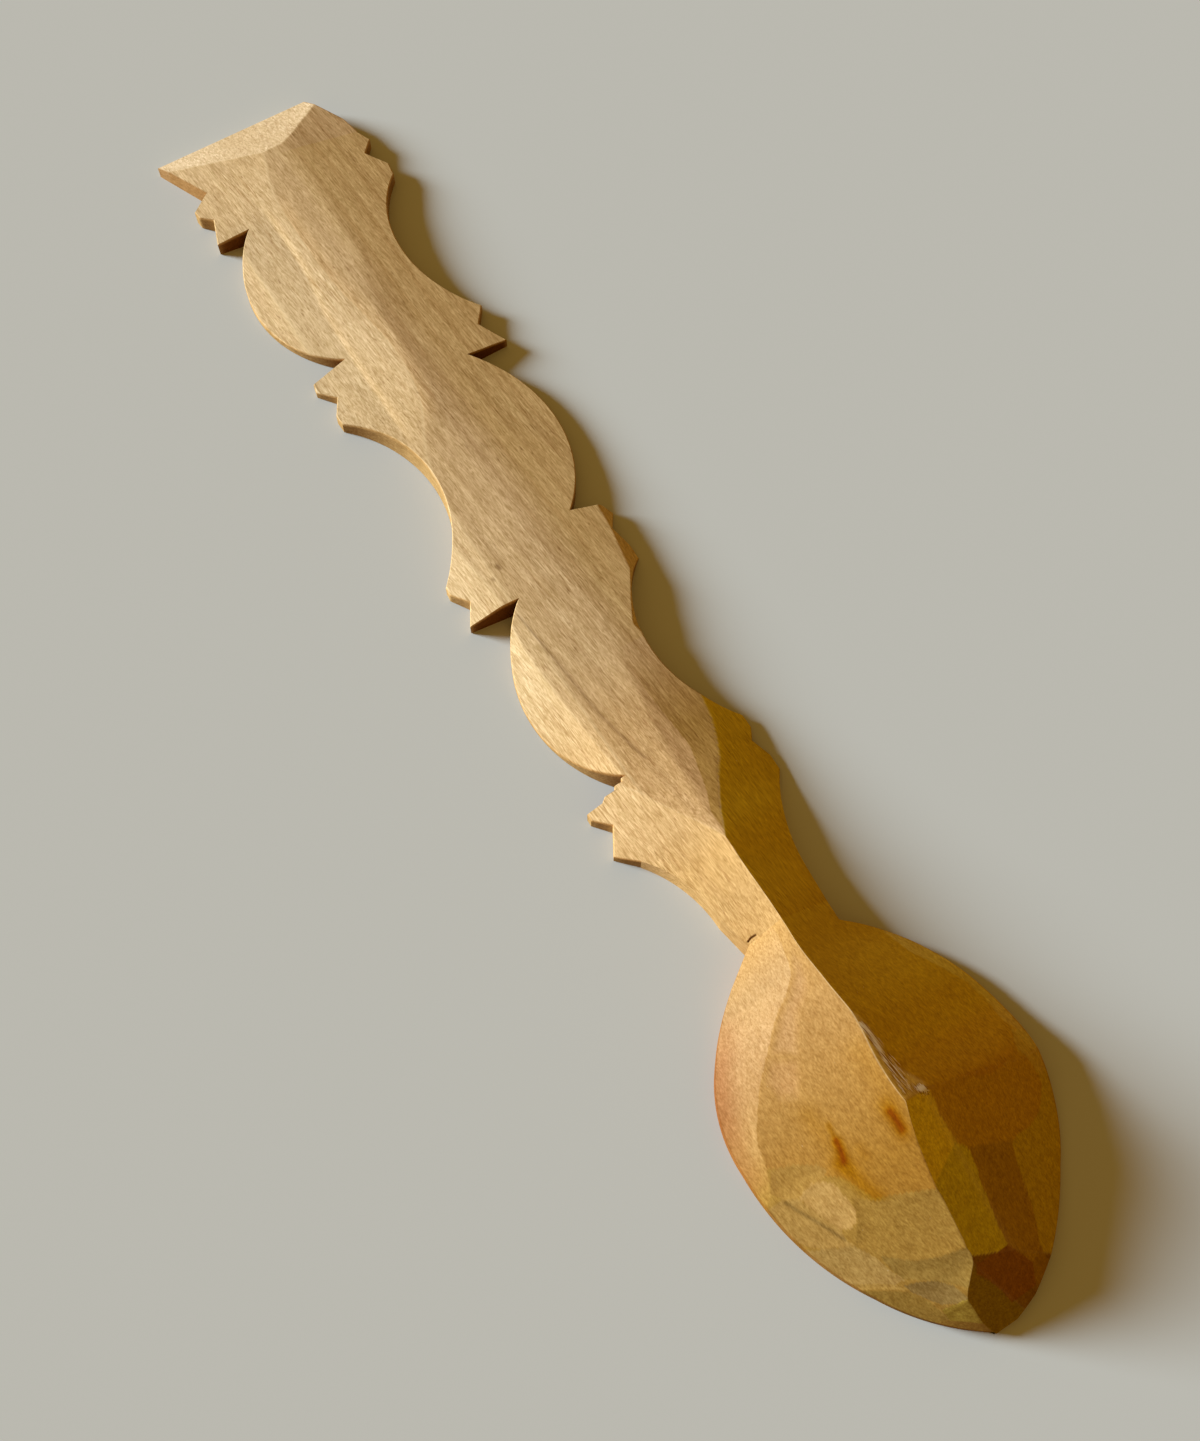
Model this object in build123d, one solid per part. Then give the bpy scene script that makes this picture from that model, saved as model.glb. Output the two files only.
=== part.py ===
from build123d import *
import os
from math import cos, radians, sin

# A carved wooden love spoon, lying face down: the table is Z = 0, the crest is at +Y and the
# bowl's tip at -Y. The carver draws the plan on a board, saws it out, and then cuts the back to
# long facets with a knife. All sizes are in millimetres, all angles in degrees.

# Lengths along the spoon, from the bowl's tip up to the crest.
bowl_length = 64.5
neck_length = 21.0
end_leaf_length = 13.2
lobe_length = 37.5
sprig_length = 62.5
right_sprig_length = 62.3
right_lobe_length = 39.9
crest_length = 13.0

# Plan of the handle: the leaf tips lie on two guide lines that draw in towards the neck.
half_width_at_crest = 19.6
half_width_at_neck = 15.5
axis_x_at_crest = 3.05
axis_x_at_neck = 0.4
notch_depth = 7.6
waist_depth = 8.4
stem_cheek = 2.6
lobe_shy = 0.3

# Leaves: two teeth below each lobe, and two thorns above each lobe.
tooth_depth = 2.6
tooth_tip_drop = 1.2
tooth_tip_width = 1.7
tooth_notch_drop = 6.4
second_tooth_drop = 10.4
second_tooth_width = 2.0
thorn_lift = 0.6
thorn_notch_lift = 5.6
upper_thorn_lift = 9.7

# Crest: a flared end with a sloping cut across its back.
crest_left_foot = -12.3
crest_left_tip = -17.3
crest_right_corner = 15.6
crest_right_foot = 21.3
crest_edge_thickness = 1.6
crest_cut_length = 11.5

# Back of the handle: a flat band, a facet falling to each side, and a scoop up to the neck.
handle_thickness = 5.4
band_left = -7.0
band_right = 2.0
left_fall = 0.42
right_fall = 0.17
scoop_length = 53.0
scoop_rise = 8.4

# Neck: a roof with a sharp ridge, cut steeper and steeper towards the bowl.
neck_half_width = 7.75
neck_x = 1.5
ridge_x = -0.6
roof_start = 17.0
roof_heights = (9.1, 9.5, 10.3, 12.0)
roof_left_falls = (0.33, 0.50, 0.62, 0.62)
roof_right_falls = (0.28, 0.36, 0.58, 0.60)
neck_arc_share = 0.55
neck_arc_hollow = 4.2

# Bowl: an egg in plan, turned a little to the left, with a keeled back cut in flat facets.
bowl_width = 49.0
bowl_height = 17.0
bowl_turn = 5.4
hollow_depth = 9.0
rim_wall = 3.4
tip_wall = 5.0

# Half-width of the bowl at stations from its shoulders to its tip, in shares of its length and
# half-width. The left shoulder is at the foot of the neck, the right one a little lower.
bowl_stations = ((0.185, 0.75), (0.47, 1.0), (0.77, 0.73), (0.94, 0.345), (1.0, 0.0))
right_shoulder_drop = 2.4

# Each facet of the bowl's back: its height over the middle of the bowl, its fall to the right and
# its fall to the tip, in shares of the bowl's height, half-width and half-length.
back_facets = (
    (1.56, -1.33, -0.80),
    (0.98, -0.83, -0.07),
    (1.26, -1.08, 0.63),
    (1.51, -1.32, 0.82),
    (1.00, 0.87, -0.24),
    (1.09, 0.98, -0.23),
    (1.01, 0.66, 0.68),
    (0.99, 0.51, 0.67),
    (1.11, 0.77, 0.79),
    (1.16, 0.45, 0.91),
)

# Stations on Y, with the middle of the spoon's length at zero.
left_chain = end_leaf_length + lobe_length + sprig_length + lobe_length + end_leaf_length
spoon_length = bowl_length + neck_length + left_chain + crest_length
tip_y = -spoon_length / 2
bowl_top = tip_y + bowl_length
neck_top = bowl_top + neck_length
lower_lobe_y = neck_top + end_leaf_length
left_sprig_y = lower_lobe_y + lobe_length
upper_lobe_y = left_sprig_y + sprig_length
upper_leaf_y = upper_lobe_y + lobe_length
crest_foot_y = upper_leaf_y + end_leaf_length
crest_end_y = crest_foot_y + crest_length
right_lobe_y = neck_top + right_sprig_length
right_sprig_y = right_lobe_y + right_lobe_length
reach = spoon_length
tall = 3 * bowl_height


def along_handle(y, at_neck, at_crest):
    """A value that runs evenly from the top of the neck to the foot of the crest."""
    return at_neck + (at_crest - at_neck) * (y - neck_top) / (crest_foot_y - neck_top)


def guide(side, y, inset=0.0):
    """A plan point on a side's guide line (-1 left, +1 right), drawn in by the inset."""
    axis = along_handle(y, axis_x_at_neck, axis_x_at_crest)
    half = along_handle(y, half_width_at_neck, half_width_at_crest)
    return (axis + side * (half - inset), y)


def teeth(side, y):
    """Two leaf teeth below the notch at y, from the notch down."""
    return [
        guide(side, y - tooth_tip_drop),
        guide(side, y - tooth_tip_drop - tooth_tip_width),
        guide(side, y - tooth_notch_drop, tooth_depth),
        guide(side, y - second_tooth_drop),
        guide(side, y - second_tooth_drop - second_tooth_width),
    ]


def thorns(side, y):
    """Two thorns above the notch at y, from the top down."""
    return [
        guide(side, y + upper_thorn_lift),
        guide(side, y + thorn_notch_lift, tooth_depth),
        guide(side, y + thorn_lift),
    ]


def lobe(side, low, high):
    """A round lobe bulging to the guide line between the notches at low and high."""
    middle = (low + high) / 2
    return ThreePointArc(guide(side, high, notch_depth), guide(side, middle, lobe_shy),
                         guide(side, low, notch_depth))


def waist(side, start, end):
    """The hollow between the two leaf pairs of a sprig."""
    middle = (start[1] + end[1]) / 2
    return ThreePointArc(start, guide(side, middle, waist_depth), end)


def neck_curve(side, start):
    """The hollow curve from the lowest leaf down to the bowl."""
    end = (neck_x + side * neck_half_width, bowl_top)
    middle_y = end[1] + (start[1] - end[1]) * neck_arc_share
    middle_x = end[0] + (start[0] - end[0]) * neck_arc_share - side * neck_arc_hollow
    return ThreePointArc(start, (middle_x, middle_y), end)


def handle_plan():
    """The sawn outline of the crest, handle and neck."""
    left_foot = (crest_left_foot, crest_foot_y)
    left_tip = (crest_left_tip, crest_end_y)
    right_corner = (crest_right_corner, crest_end_y)
    right_foot = (crest_right_foot, crest_foot_y)

    top_thorns = thorns(-1, upper_lobe_y + lobe_length)
    upper_teeth = teeth(-1, upper_lobe_y)
    lower_thorns = thorns(-1, left_sprig_y)
    end_teeth = teeth(-1, lower_lobe_y)
    left = [
        Polyline(left_tip, left_foot, *top_thorns, guide(-1, upper_leaf_y, notch_depth)),
        lobe(-1, upper_lobe_y, upper_leaf_y),
        Polyline(guide(-1, upper_lobe_y, notch_depth), *upper_teeth),
        waist(-1, upper_teeth[-1], lower_thorns[0]),
        Polyline(*lower_thorns, guide(-1, left_sprig_y, notch_depth)),
        lobe(-1, lower_lobe_y, left_sprig_y),
        Polyline(guide(-1, lower_lobe_y, notch_depth), *end_teeth),
        neck_curve(-1, end_teeth[-1]),
    ]

    crest_teeth = teeth(1, crest_foot_y)[1:]
    right_thorns = thorns(1, right_sprig_y)
    right_teeth = teeth(1, right_lobe_y)
    end_thorns = thorns(1, neck_top + second_tooth_width)
    right = [
        Polyline(right_corner, right_foot, *crest_teeth),
        waist(1, crest_teeth[-1], right_thorns[0]),
        Polyline(*right_thorns, guide(1, right_sprig_y, notch_depth)),
        lobe(1, right_lobe_y, right_sprig_y),
        Polyline(guide(1, right_lobe_y, notch_depth), *right_teeth),
        waist(1, right_teeth[-1], end_thorns[0]),
        Polyline(*end_thorns),
        neck_curve(1, end_thorns[-1]),
    ]
    ends = [Line(left_tip, right_corner),
            Line((neck_x - neck_half_width, bowl_top), (neck_x + neck_half_width, bowl_top))]
    edges = [edge for curve in left + right + ends for edge in curve.edges()]
    return make_face(edges)


def handle_back():
    """The space under the back of the handle: band, side facets and the scoop to the neck."""
    scoop_start = bowl_top + scoop_length
    top = Line((crest_end_y + 1, handle_thickness), (scoop_start, handle_thickness))
    scoop = TangentArc((scoop_start, handle_thickness),
                       (bowl_top, handle_thickness + scoop_rise), tangent=(-1, 0))
    under = Polyline((bowl_top, handle_thickness + scoop_rise), (bowl_top, -tall),
                     (crest_end_y + 1, -tall), (crest_end_y + 1, handle_thickness))
    profile = make_face(top.edges() + scoop.edges() + under.edges())
    left_face = Plane.YZ.offset(band_left) * profile
    right_face = Plane.YZ.offset(band_right) * profile
    band = extrude(left_face, band_right - band_left, dir=(1, 0, 0))
    left = extrude(left_face, reach, dir=(-1, 0, -left_fall))
    right = extrude(right_face, reach, dir=(1, 0, -right_fall))
    return band + left + right


def neck_roof():
    """The space under the neck's two facets, open above the handle further up."""
    low = bowl_top
    high = neck_top + roof_start
    stations = (high, neck_top, (neck_top + low) / 2, low)
    sections = []
    for y, top, left, right in zip(stations, roof_heights, roof_left_falls, roof_right_falls):
        outline = Polyline((ridge_x - reach, y, top - left * reach), (ridge_x, y, top),
                           (ridge_x + reach, y, top - right * reach),
                           (ridge_x + reach, y, -reach), (ridge_x - reach, y, -reach), close=True)
        sections.append(make_face(outline.edges()))
    roof = loft(sections, ruled=True)
    above = Box(2 * reach, reach, 2 * reach, align=(Align.CENTER, Align.MIN, Align.CENTER))
    return roof + Pos(ridge_x, high, 0) * above


def crest_cut():
    """The wood that the sloping cut takes off the crest's end."""
    start = crest_end_y - crest_cut_length
    fall = (handle_thickness - crest_edge_thickness) / crest_cut_length
    wedge = Polyline((0, start - reach, handle_thickness + fall * reach), (0, start, handle_thickness),
                     (0, start + reach, handle_thickness - fall * reach),
                     (0, start + reach, handle_thickness + fall * reach), close=True)
    return extrude(make_face(wedge.edges()), reach, dir=(1, 0, 0), both=True)


def region(left_low, left_high, right_low, right_high, low, high):
    """A tall block over one carved region of the plan, with straight sides."""
    outline = Polyline((left_low, low), (right_low, low), (right_high, high), (left_high, high), close=True)
    return extrude(make_face(outline.edges()), tall)


def stem_side(side, y):
    """X of the flat face between the stem and what is carved beside it."""
    return guide(side, y, waist_depth + stem_cheek)[0]


def beside_stem(side, low, high):
    """The region outside the stem on one side, between two stations."""
    stem_face = (stem_side(side, low), stem_side(side, high))
    far = (side * reach, side * reach)
    left, right = (far, stem_face) if side < 0 else (stem_face, far)
    return region(*left, *right, low, high)


def bowl_point(share, half_share, side=1):
    """A plan point of the bowl from its shares of the length and the half-width, turned with it."""
    across = side * half_share * bowl_width / 2
    down = share * bowl_length
    turn = radians(bowl_turn)
    return (neck_x + across * cos(turn) - down * sin(turn), bowl_top - down * cos(turn) - across * sin(turn))


def bowl():
    """The egg-shaped bowl: keeled and faceted behind, hollowed out in front."""
    left_foot = (neck_x - neck_half_width, bowl_top)
    right_foot = (neck_x + neck_half_width, bowl_top)
    right_shoulder = (right_foot[0], bowl_top - right_shoulder_drop)
    left = Spline([left_foot] + [bowl_point(*station, -1) for station in bowl_stations])
    right = Spline([right_shoulder] + [bowl_point(*station) for station in bowl_stations])
    neck = Polyline(left_foot, right_foot, right_shoulder)
    body = extrude(make_face(left.edges() + right.edges() + neck.edges()), tall)
    middle = bowl_point(0.5, 0)
    half_length = bowl_length / 2
    for height, to_right, to_tip in back_facets:
        slope_x = -to_right * bowl_height / (bowl_width / 2)
        slope_y = to_tip * bowl_height / half_length
        face = Plane(origin=(*middle, height * bowl_height), z_dir=(-slope_x, -slope_y, 1))
        body -= face * Box(2 * reach, 2 * reach, reach, align=(Align.CENTER, Align.CENTER, Align.MIN))

    hollow_half = bowl_width / 2 - rim_wall
    ball_radius = (hollow_half ** 2 + hollow_depth ** 2) / (2 * hollow_depth)
    ball = scale(Sphere(ball_radius), by=(1, (half_length - tip_wall) / hollow_half, 1))
    ball = Rot(0, 0, -bowl_turn) * (Pos(0, 0, hollow_depth - ball_radius) * ball)
    return body - Pos(*middle, 0) * ball


blank = extrude(handle_plan(), tall) & handle_back() & neck_roof()
blank -= crest_cut()

nodes = {
    "bowl": bowl(),
    "neck": blank & region(-reach, -reach, reach, reach, bowl_top, neck_top),
    "stem": blank & region(stem_side(-1, neck_top), stem_side(-1, crest_foot_y),
                           stem_side(1, neck_top), stem_side(1, crest_foot_y), neck_top, crest_foot_y),
    "lower_left_leaf": blank & beside_stem(-1, neck_top, lower_lobe_y),
    "lower_left_lobe": blank & beside_stem(-1, lower_lobe_y, left_sprig_y),
    "left_sprig": blank & beside_stem(-1, left_sprig_y, upper_lobe_y),
    "upper_left_lobe": blank & beside_stem(-1, upper_lobe_y, upper_leaf_y),
    "upper_left_leaf": blank & beside_stem(-1, upper_leaf_y, crest_foot_y),
    "lower_right_sprig": blank & beside_stem(1, neck_top, right_lobe_y),
    "right_lobe": blank & beside_stem(1, right_lobe_y, right_sprig_y),
    "upper_right_sprig": blank & beside_stem(1, right_sprig_y, crest_foot_y),
    "crest": blank & region(-reach, -reach, reach, reach, crest_foot_y, crest_end_y + 1),
}

# The frame's origin is under the middle of the whole spoon, on the table.
box = Compound(list(nodes.values())).bounding_box()
to_origin = Pos(-box.center().X, -box.center().Y, -box.min.Z)

os.makedirs("parts", exist_ok=True)
for name, shape in nodes.items():
    export_step(to_origin * shape, f"parts/{name}.step")
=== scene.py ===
import math

import bpy
import numpy as np
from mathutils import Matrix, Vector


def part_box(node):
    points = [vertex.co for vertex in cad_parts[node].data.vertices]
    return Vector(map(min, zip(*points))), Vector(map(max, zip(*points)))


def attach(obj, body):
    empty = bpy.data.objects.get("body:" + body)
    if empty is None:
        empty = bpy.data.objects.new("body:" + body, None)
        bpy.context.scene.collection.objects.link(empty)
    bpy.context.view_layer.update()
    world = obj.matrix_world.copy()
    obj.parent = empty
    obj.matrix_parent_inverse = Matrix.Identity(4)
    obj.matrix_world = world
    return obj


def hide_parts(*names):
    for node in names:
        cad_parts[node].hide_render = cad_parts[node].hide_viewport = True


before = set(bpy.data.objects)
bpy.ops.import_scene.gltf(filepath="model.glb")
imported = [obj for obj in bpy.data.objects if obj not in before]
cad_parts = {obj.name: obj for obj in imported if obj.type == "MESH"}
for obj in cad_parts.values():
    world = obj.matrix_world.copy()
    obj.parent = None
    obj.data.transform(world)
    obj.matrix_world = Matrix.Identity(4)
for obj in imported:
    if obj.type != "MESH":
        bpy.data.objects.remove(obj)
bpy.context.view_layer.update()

# The whole spoon is cut from one board of pale, bare, straight-grained wood. The grain runs along
# the handle, a few degrees off it, in fine fibres, streaks and flecks; worn arrises are paler, torn
# strands are paler with painted light on them and painted shade between them, and the bowl is mottled.
# The light and shade of the carved facets are painted into the tone on the mesh.
mm = 0.001
grain_turn = math.radians(5)
wood = bpy.data.materials.new("pale_carved_wood")
wood.use_nodes = True
tree = wood.node_tree
shader = tree.nodes["Principled BSDF"]
shader.inputs["Roughness"].default_value = 0.75
shader.inputs["Specular IOR Level"].default_value = 0.02


def node(kind, inputs, **settings):
    """A shader node in the tree at hand, with its settings made and its sockets filled or linked."""
    made = tree.nodes.new("ShaderNode" + kind)
    for name, value in settings.items():
        setattr(made, name, value)
    for socket, value in inputs.items():
        if isinstance(value, bpy.types.NodeSocket):
            tree.links.new(value, made.inputs[socket])
        else:
            made.inputs[socket].default_value = value
    return made


board = node("TexCoord", {}).outputs["Object"]


def figure(width, length, detail=3.0, sway=0.0):
    """Noise drawn out along the grain, with spots of the given width and length in mm."""
    size = (width * mm, length * mm, width * mm)
    turned = {"Vector": board, "Rotation": (0, 0, grain_turn), "Scale": size}
    place = node("Mapping", turned, vector_type="TEXTURE").outputs[0]
    noise = {"Vector": place, "Scale": 1.0, "Detail": detail, "Distortion": sway}
    return node("TexNoise", noise).outputs["Fac"]


def blend(share, first, second, **settings):
    """Two colours mixed by a share from 0 to 1."""
    return node("Mix", {0: share, 6: first, 7: second}, data_type="RGBA", **settings).outputs[2]


def span(value, low, high, top=1.0):
    """A value between low and high spread over 0 to top."""
    return node("MapRange", {"Value": value, "From Min": low, "From Max": high, "To Max": top}).outputs[0]


def mark(name, channel):
    """A value or a colour painted on the mesh."""
    return node("Attribute", {}, attribute_name=name).outputs[channel]


fibre = figure(0.34, 5, 5.0, 1.0)
late_wood = (0.39, 0.228, 0.088, 1)
early_wood = (0.65, 0.447, 0.222, 1)
colour = blend(span(fibre, 0.3, 0.7), late_wood, early_wood)
even_bands = span(figure(3.6, 45, 2.0, 0.8), 0.35, 0.65, 0.75)
brown_cast = span(figure(9, 40), 0.50, 0.68, 0.30)
dark_streaks = span(figure(0.5, 22, 1.0), 0.64, 0.70, 0.30)
dark_fibres = span(figure(0.28, 2.5, 1.0), 0.66, 0.76, 0.6)
pores = span(figure(0.14, 0.9, 2.0), 0.58, 0.74, 0.4)
pale_patches = span(figure(14, 26), 0.45, 0.7, 0.35)
for share, layer in (
        (even_bands, (0.55, 0.357, 0.161, 1)),
        (brown_cast, (0.44, 0.27, 0.11, 1)),
        (dark_streaks, (0.30, 0.15, 0.05, 1)),
        (dark_fibres, (0.22, 0.10, 0.028, 1)),
        (pores, (0.27, 0.14, 0.045, 1)),
        (pale_patches, (0.67, 0.457, 0.23, 1))):
    colour = blend(share, colour, layer)
bowl_end = span(node("SeparateXYZ", {"Vector": board}).outputs["Y"], -0.055, -0.085, 0.65)
mottle = blend(span(figure(0.7, 1.3, 4.0), 0.35, 0.65), (0.44, 0.27, 0.125, 1), (0.585, 0.395, 0.215, 1))
colour = blend(bowl_end, colour, mottle)
handle_fleck = figure(0.22, 2.0, 4.0, 1.0)
bowl_fleck = figure(0.24, 0.6, 4.0)
fleck = node("Mix", {0: bowl_end, 2: handle_fleck, 3: bowl_fleck}).outputs[0]
speckle = blend(span(fleck, 0.36, 0.64), (0.80, 0.77, 0.68, 1), (1.20, 1.23, 1.32, 1))
colour = blend(1.0, colour, speckle, blend_type="MULTIPLY")
# The tone painted on the mesh multiplies in here: the wood's own tints and marks, and with them painted light
# and shade on the carved facets and painted shade on the side turned from the daylight.
colour = blend(1.0, colour, mark("tone", "Color"), blend_type="MULTIPLY")
worn_wood = (0.72, 0.52, 0.27, 1)
colour = blend(span(mark("arris", "Fac"), 0.2, 1.0, 0.3), colour, worn_wood)
tear = mark("tone", "Alpha")
strand = figure(0.11, 7, 2.0, 0.3)
# The dark gaps between the torn strands are painted shade.
gap = {0: span(strand, 0.47, 0.42), 1: span(tear, 0.2, 0.5, 0.8)}
painted_shade_between_strands = (0.17, 0.045, 0.004, 1)
colour = blend(node("Math", gap, operation="MULTIPLY").outputs[0], colour, painted_shade_between_strands)
# The torn strands are paler wood, with painted light where they stand up into the daylight.
lifted = node("Math", {0: tear, 1: 0.35, 2: strand}, operation="MULTIPLY_ADD").outputs[0]
pale_lit_strand = (0.70, 0.55, 0.34, 1)
colour = blend(span(lifted, 0.79, 0.83, 0.9), colour, pale_lit_strand)
tree.links.new(colour, shader.inputs["Base Color"])
rough = node("Bump", {"Strength": 0.3, "Distance": 0.1 * mm, "Height": fibre})
tree.links.new(rough.outputs[0], shader.inputs["Normal"])

# The stem is the plain middle of the handle, the strip that every leaf and lobe grows from. It is
# flat in front; behind, the knife has left a flat band, a long facet falling to each side of it,
# and a scoop that rises to the neck.
neck_foot, neck_top = (corner.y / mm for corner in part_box("neck"))
crest_foot, crest_end = (corner.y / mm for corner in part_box("crest"))
band_height = 5.4
handle_wear = 0.05
band_face, left_face = 0, 1
right_bevel, left_roof, right_roof = 3, 4, 5


def straight(y, *stations):
    """A value on straight runs between stations (y, value), listed from the bowl up."""
    return np.interp(y, *zip(*stations))


def smooth(y, *stations):
    """A value on a smooth curve through stations (y, value): cubics with the slopes matched."""
    at, value = (np.array(column, float) for column in zip(*stations))
    slope = np.gradient(value, at)
    y = np.clip(y, at[0], at[-1])
    i = np.clip(np.searchsorted(at, y) - 1, 0, len(at) - 2)
    h = at[i + 1] - at[i]
    t = (y - at[i]) / h
    return ((2 * t**3 - 3 * t**2 + 1) * value[i] + (t**3 - 2 * t**2 + t) * h * slope[i]
            + (3 * t**2 - 2 * t**3) * value[i + 1] + (t**3 - t**2) * h * slope[i + 1])


def knife_flats(x, y, width, depth):
    """Shallow flats that the knife leaves: triangle waves across the grain, wandering along it."""
    u = (x + 0.09 * y + 1.3 * np.sin(y / 37 + 0.7) + 0.5 * np.sin(y / 13 + 2.0)) / width
    broad = np.abs(u % 1 - 0.5)
    narrow = np.abs((2.3 * u + 0.4 * np.sin(y / 21)) % 1 - 0.5)
    return depth * (1.4 * broad + 0.6 * narrow)


def lowest(faces, wear=0.12):
    """The surface left by cutting along every face, and how near each point is to an arris.

    Height is the lowest face, less a quarter of the wear on an arris; the arris is 1 where the two
    lowest faces meet and fades as exp(-gap / wear). The number of the lowest face comes with them."""
    heights = np.stack(np.broadcast_arrays(*faces))
    two = np.partition(heights, 1, axis=0)[:2]
    arris = np.exp((two[0] - two[1]) / wear)
    return two[0] - 0.25 * wear * arris, arris, heights.argmin(0)


def band_edge(y):
    """Left edge of the flat band along the handle's back, where it meets the long left facet."""
    return smooth(y, (30, -5.9), (40, -3.4), (50, 1.0), (62, 2.4), (72, 1.4), (80, 0.1), (100, -0.6),
                  (110, 0), (120, 3))


def handle_faces(x, y):
    """The knife cuts along the handle's back, as heights over the table.

    The band is level, and a parabola where it rises to the neck. To its right the back falls through
    a soft turn, log(1 + exp(distance / turn)); to its left it falls as a plane. Each edge is cut again
    by a steeper bevel."""
    band = band_height + np.maximum(-13.8 - y, 0) ** 2 / 345
    right_ridge = smooth(y, (-46, 1.0), (-36.8, 1.7), (-26, 2.9), (-18, 4.1), (10, 4.4), (35, 3.6),
                         (50, 3.2), (62, 3.5), (75, 4.7), (89.5, 7.1), (101, 8.1), (121, 7.9))
    right_fall = straight(y, (-46, 0.24), (-24, 0.20), (-5, 0.17), (90, 0.17), (118, 0.18))
    turn = straight(y, (-15, 0.3), (0, 1.8), (40, 1.5), (62, 0.5))
    back = band - right_fall * turn * np.logaddexp(0, (x - right_ridge) / turn)
    left_ridge = band_edge(y)
    left_fall = smooth(y, (30, 0.18), (42, 0.10), (53, 0.17), (64, 0.23), (88, 0.24), (105, 0.18),
                       (118, 0.13), (130, 0.13))
    left = band - left_fall * (left_ridge - x)
    edge = straight(y, (-33.5, -30), (-32.6, -6.6), (-15, -8.1), (-4, -8.5), (8, -7.5), (20, -9.0), (34, -12),
                    (49, -11), (51, -30), (68, -30), (70, -11.0), (97, -11.3), (105, -12), (107, -30))
    bevel = straight(y, (-2, 0.75), (5, 0.44), (50, 0.44), (75, 0.30))
    left_edge = band - left_fall * (left_ridge - edge) - bevel * (edge - x)
    limit = straight(y, (-15, 40), (-12, 10.6), (-9, 10.1), (-4.5, 12.4), (1, 15.7), (9, 17.2),
                     (16, 17.9), (18, 40))
    right_edge = band - right_fall * (limit - right_ridge) - (x - limit)
    flats = knife_flats(x, y, 4.6, 0.07)
    return [face - flats for face in (back, left, left_edge, right_edge)]


def keel(y):
    """Middle and height of the ridge that climbs from the handle over the neck to the bowl's crown."""
    middle = smooth(y, (-121.5, -4.3), (-117, -4.1), (-110.5, -3.3), (-105, -2.2), (-99, -1.2), (-93, -0.6),
                    (-86, 0.5), (-79, 0.2), (-72, 0), (-66.8, 0.5), (-53, 0.9))
    middle = np.where(y < -121.5, straight(y, (-131, -3.9), (-125.2, -5.6), (-121.5, -4.3)), middle)
    height = smooth(y, (-131, 2.4), (-128.7, 4.8), (-125.5, 7.2), (-121.5, 9.2), (-115.5, 11.5), (-109, 14),
                    (-103, 15.9), (-98, 16.6), (-93, 16.3), (-87, 15.3), (-80, 14), (-73, 12.3),
                    (-66.8, 10.8), (-61, 9.9))
    return middle, height


def roof_faces(x, y):
    """The two facets of the neck, falling straight from the ridge to each side."""
    middle = keel(y)[0]
    foot = ((-66.8, 10.8), (-61, 9.9), (-56, 9.4), (-50, 9.3))
    left = smooth(y, *foot, (-44.7, 9.7), (-33.8, 10.7), (-24, 11.5), (-10, 14), (20, 40))
    right = smooth(y, *foot, (-44.4, 9.0), (-33.7, 9.3), (-24, 9.6), (-10, 11), (20, 40))
    left_fall = smooth(y, (-66.8, 0.86), (-61, 0.77), (-56.3, 0.70), (-50, 0.58), (-44.7, 0.53), (-24, 0.53))
    right_fall = smooth(y, (-66.8, 0.66), (-61, 0.62), (-55.8, 0.57), (-44, 0.49), (-24, 0.48))
    return [left - left_fall * (middle - x), right - right_fall * (x - middle)]


def tint(y, *stations):
    """A colour on straight runs between stations (y, (red, green, blue))."""
    at, colours = zip(*stations)
    return np.stack([np.interp(y, at, share) for share in zip(*colours)], -1)


def away(x, y, *places):
    """Distance in plan from straight runs between places."""
    gaps = []
    for (ax, ay), (bx, by) in zip(places, places[1:]):
        run = (bx - ax, by - ay)
        t = np.clip(((x - ax) * run[0] + (y - ay) * run[1]) / (run[0] ** 2 + run[1] ** 2), 0, 1)
        gaps.append(np.hypot(x - ax - t * run[0], y - ay - t * run[1]))
    return np.min(gaps, 0)


def smear(x, y, width, *places):
    """A soft mark along straight runs between places: exp(-(distance / width) ** 2)."""
    return np.exp(-(away(x, y, *places) / width) ** 2)


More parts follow.
